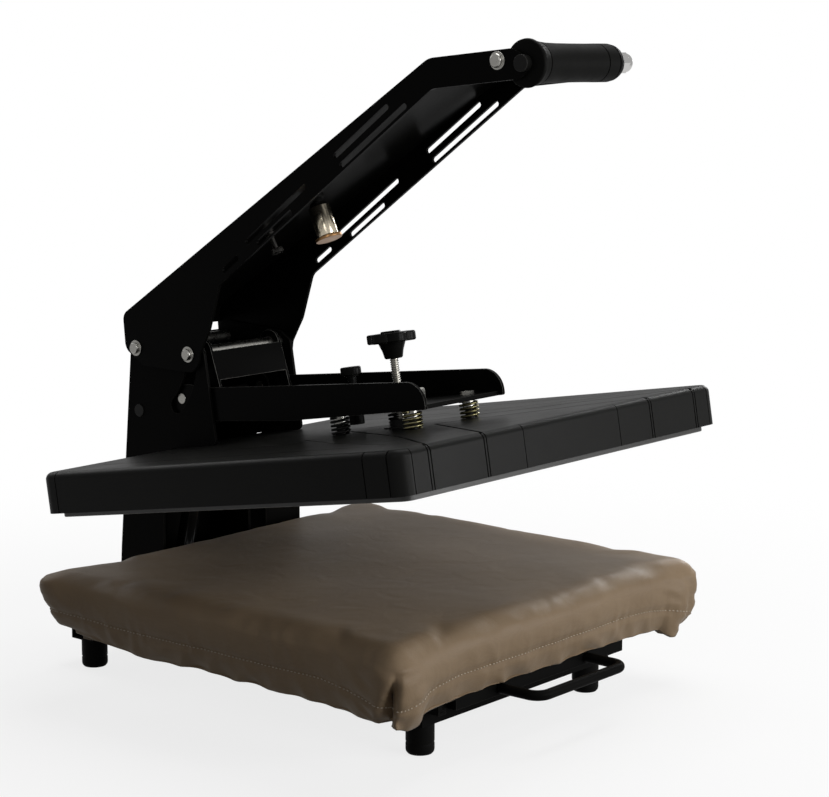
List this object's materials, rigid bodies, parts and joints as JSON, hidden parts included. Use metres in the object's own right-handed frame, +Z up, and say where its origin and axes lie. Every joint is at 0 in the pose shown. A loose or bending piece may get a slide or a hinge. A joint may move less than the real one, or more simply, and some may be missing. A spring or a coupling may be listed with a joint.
{
  "type": "slide-out heat press",
  "caption": "Table-top heat press with a hinged lever arm, a magnet catch, a heated upper platen on a pressure screw and a padded lower platen on a pull-out drawer.",
  "frame": {"origin": "centre of the footprint, on the floor under the feet", "axes": "+Z up, -Y towards the user, +X towards the user's right"},
  "size_m": [0.446, 0.524, 0.591],
  "materials": {
    "frame_steel": "fine-texture satin black powder coat",
    "arm_steel": "semi-gloss black enamel",
    "cover_charcoal": "finely grained moulded charcoal",
    "black_plastic": "satin black moulding",
    "rubber": "matte ribbed rubber",
    "zinc_steel": "bright zinc plate",
    "chrome": "polished",
    "gas_black": "gloss black",
    "spring_wire": "yellow-olive passivated wire",
    "pad_felt": "matte",
    "cast_aluminium": "cast, machined face",
    "coated_plate": "dark non-stick coating",
    "element_steel": "heat-tinted sheath",
    "insulation": "fibrous board",
    "circuit_board": "lacquered board",
    "display": "dark glossy window",
    "pad_foam": "open silicone foam",
    "khaki_cloth": "quilted khaki cotton canvas"
  },
  "bodies": {
    "frame": {"base_frame": "frame_steel", "feet": "rubber", "column_left": "frame_steel", "column_right": "frame_steel", "column_bolts": "zinc_steel", "column_rear_cover": "frame_steel", "rail_outer": "frame_steel", "control_box": "frame_steel", "control_panel": "black_plastic", "display_window": "display", "panel_screws": "zinc_steel", "controller_board": "circuit_board", "inlet_socket": "black_plastic"},
    "arm": {"arm_left": "arm_steel", "arm_right": "arm_steel", "arm_web": "arm_steel", "arm_axles": "zinc_steel", "axle_screws": "zinc_steel", "stop_screw": "zinc_steel", "magnet_mount": "rubber", "grip_rod": "chrome", "grip_sleeve": "rubber", "grip_nut": "chrome"},
    "magnet": {"magnet_body": "chrome", "magnet_disc": "chrome"},
    "yoke": {"link_yoke": "arm_steel"},
    "rocker": {"rocker_plates": "arm_steel", "rocker_pins": "zinc_steel"},
    "beam": {"beam_left": "arm_steel", "beam_right": "arm_steel", "beam_cross_plate": "arm_steel", "yoke_pin": "zinc_steel", "beam_inserts": "zinc_steel", "striker": "black_plastic", "front_springs": "spring_wire", "rear_springs": "spring_wire"},
    "platen": {"platen_cover": "cover_charcoal", "heat_platen": "coated_plate", "heating_element": "element_steel", "insulation_board": "insulation", "temperature_sensor": "element_steel", "thrust_boss": "zinc_steel", "guide_bolts": "zinc_steel", "spring_pads": "pad_felt"},
    "knob": {"pressure_knob": "black_plastic", "pressure_screw": "zinc_steel"},
    "gas_cylinder": {"gas_cylinder": "gas_black"},
    "gas_rod": {"gas_rod": "chrome"},
    "slide_middle": {"rail_middle": "frame_steel"},
    "drawer": {"rail_inner": "frame_steel", "slide_tray": "frame_steel", "tray_handle": "frame_steel", "platen_posts": "zinc_steel", "lower_platen": "cast_aluminium", "pressing_pad": "pad_foam", "pad_cover": "khaki_cloth"},
    "button_minus": {"button_minus": "black_plastic"},
    "button_set": {"button_set": "black_plastic"},
    "button_plus": {"button_plus": "black_plastic"},
    "power_switch": {"power_switch": "black_plastic"}
  },
  "joints": [
    {"name": "arm_swing", "type": "hinge", "parent": "frame", "child": "arm", "pos_m": [0, 0.224, 0.302], "axis": [1, 0, 0], "range_deg": [0, 46]},
    {"name": "rocker_swing", "type": "hinge", "parent": "frame", "child": "rocker", "pos_m": [0, 0.226, 0.241], "axis": [1, 0, 0], "range_deg": [0, 33.8]},
    {"name": "beam_tilt", "type": "hinge", "parent": "rocker", "child": "beam", "pos_m": [0, 0.1713, 0.2575], "axis": [1, 0, 0], "range_deg": [-24.2, 0]},
    {"name": "yoke_swing", "type": "hinge", "parent": "arm", "child": "yoke", "pos_m": [0, 0.153, 0.302], "axis": [1, 0, 0], "range_deg": [-71, 0]},
    {"name": "gas_swing", "type": "hinge", "parent": "frame", "child": "gas_cylinder", "pos_m": [0, 0.232, 0.085], "axis": [1, 0, 0], "range_deg": [0, 2.3]},
    {"name": "gas_slide", "type": "slide", "parent": "gas_cylinder", "child": "gas_rod", "axis": [0, -0.2461, 0.9692], "range_m": [-0.0215, 0]},
    {"name": "magnet_swivel", "type": "hinge", "parent": "arm", "child": "magnet", "pos_m": [0, 0.045, 0.44], "axis": [1, 0, 0], "range_deg": [-22.5, 0]},
    {"name": "platen_slide", "type": "slide", "parent": "beam", "child": "platen", "axis": [0, -0.1668, -0.986], "range_m": [0, 0.0145], "deforming": ["front_springs", "rear_springs"]},
    {"name": "knob_turn", "type": "hinge", "parent": "platen", "child": "knob", "pos_m": [0, -0.04759, 0.29452], "axis": [0, 0.1668, 0.986], "range_deg": [-2612, 0]},
    {"name": "drawer_slide", "type": "slide", "parent": "frame", "child": "drawer", "axis": [0, -1, 0], "range_m": [0, 0.33]},
    {"name": "drawer_middle", "type": "slide", "parent": "frame", "child": "slide_middle", "axis": [0, -1, 0], "range_m": [0, 0.1655]},
    {"name": "press_minus", "type": "slide", "parent": "frame", "child": "button_minus", "axis": [-1, 0, 0], "range_m": [0, 0.0015], "stiffness_N_per_m": 600, "springref_m": -0.0008},
    {"name": "press_set", "type": "slide", "parent": "frame", "child": "button_set", "axis": [-1, 0, 0], "range_m": [0, 0.0015], "stiffness_N_per_m": 600, "springref_m": -0.0008},
    {"name": "press_plus", "type": "slide", "parent": "frame", "child": "button_plus", "axis": [-1, 0, 0], "range_m": [0, 0.0015], "stiffness_N_per_m": 600, "springref_m": -0.0008},
    {"name": "switch_rock", "type": "hinge", "parent": "frame", "child": "power_switch", "pos_m": [0.131, 0.2285, 0.074], "axis": [0, 1, 0], "range_deg": [-4, 4]}
  ],
  "couplings": [
    {"joint": "rocker_swing", "follows": "arm_swing", "ratio": 0.7298},
    {"joint": "beam_tilt", "follows": "arm_swing", "ratio": -0.5211},
    {"joint": "yoke_swing", "follows": "arm_swing", "ratio": -1.532},
    {"joint": "gas_swing", "follows": "arm_swing", "ratio": 0.0446},
    {"joint": "gas_slide", "follows": "arm_swing", "m_per_rad": -0.02639},
    {"joint": "magnet_swivel", "follows": "arm_swing", "ratio": -0.4783},
    {"joint": "knob_turn", "follows": "platen_slide", "rad_per_m": -3141.6},
    {"joint": "drawer_middle", "follows": "drawer_slide", "ratio": 0.5}
  ]
}
